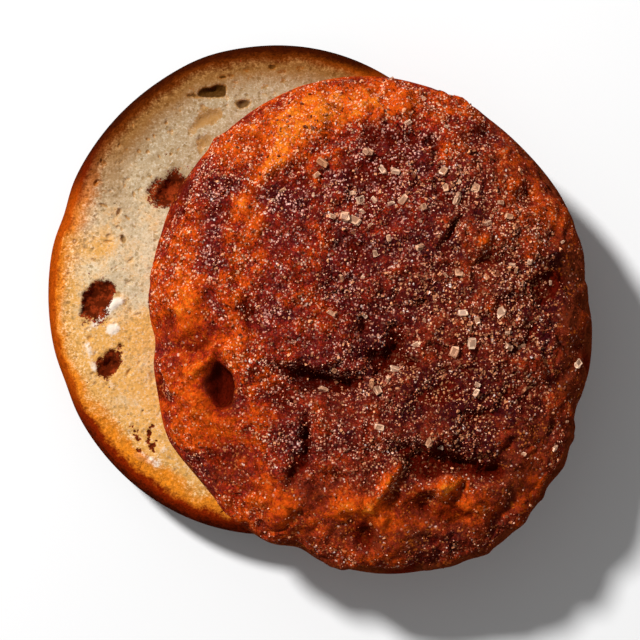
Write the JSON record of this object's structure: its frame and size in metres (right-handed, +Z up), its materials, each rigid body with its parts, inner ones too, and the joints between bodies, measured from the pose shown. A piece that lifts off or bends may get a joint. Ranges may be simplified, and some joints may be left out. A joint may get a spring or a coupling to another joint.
{
  "type": "split bagel",
  "caption": "Split bagel: the heel lies cut face up, and the domed crown with its sugared brown crust rests on it, shifted to one side.",
  "frame": {"origin": "middle of the bounding box, at the height of the heel's flat base", "axes": "+Z up out of the crown's crust, +X towards the side to which the crown is shifted, +Y away from the viewer"},
  "size_m": [0.1224, 0.119, 0.0393],
  "materials": {
    "crumb": "matt, porous crumb with toasted edges",
    "crust": "satin baked crust with sugar on it"
  },
  "bodies": {
    "root": {"heel": "crumb", "crown": "crust"}
  },
  "joints": []
}
